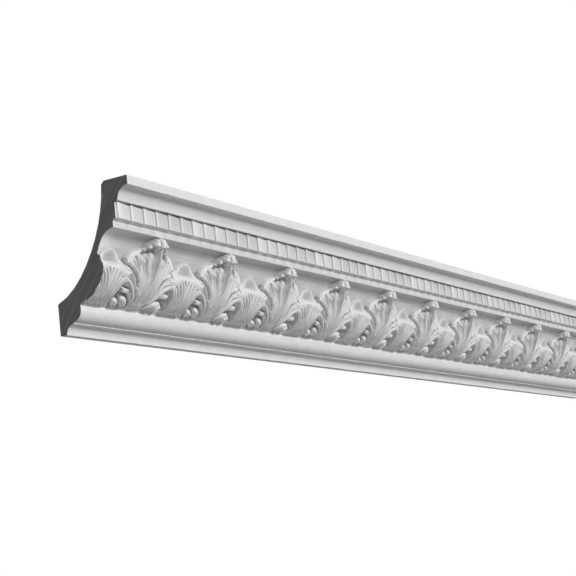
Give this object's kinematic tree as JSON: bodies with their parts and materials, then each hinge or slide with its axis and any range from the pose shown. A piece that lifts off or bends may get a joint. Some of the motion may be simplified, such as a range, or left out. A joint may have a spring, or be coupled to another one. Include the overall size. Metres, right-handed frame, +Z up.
{
  "type": "cornice moulding length",
  "caption": "Straight length of cornice moulding for the corner of wall and ceiling, with a reeded strip and a carved acanthus leaf band, cut square at both ends.",
  "frame": {"origin": "centre of the face that goes on the wall", "axes": "+X along the moulding, +Y out of the face that goes on the wall, +Z up out of the face that goes on the ceiling; the carved front looks along -Y and down"},
  "size_m": [1.56, 0.1, 0.15],
  "materials": {
    "primed_white": "matte white primer over light cast foam, bare dark grey foam on the two cut ends"
  },
  "bodies": {
    "root": {"cornice": "primed_white"}
  },
  "joints": []
}
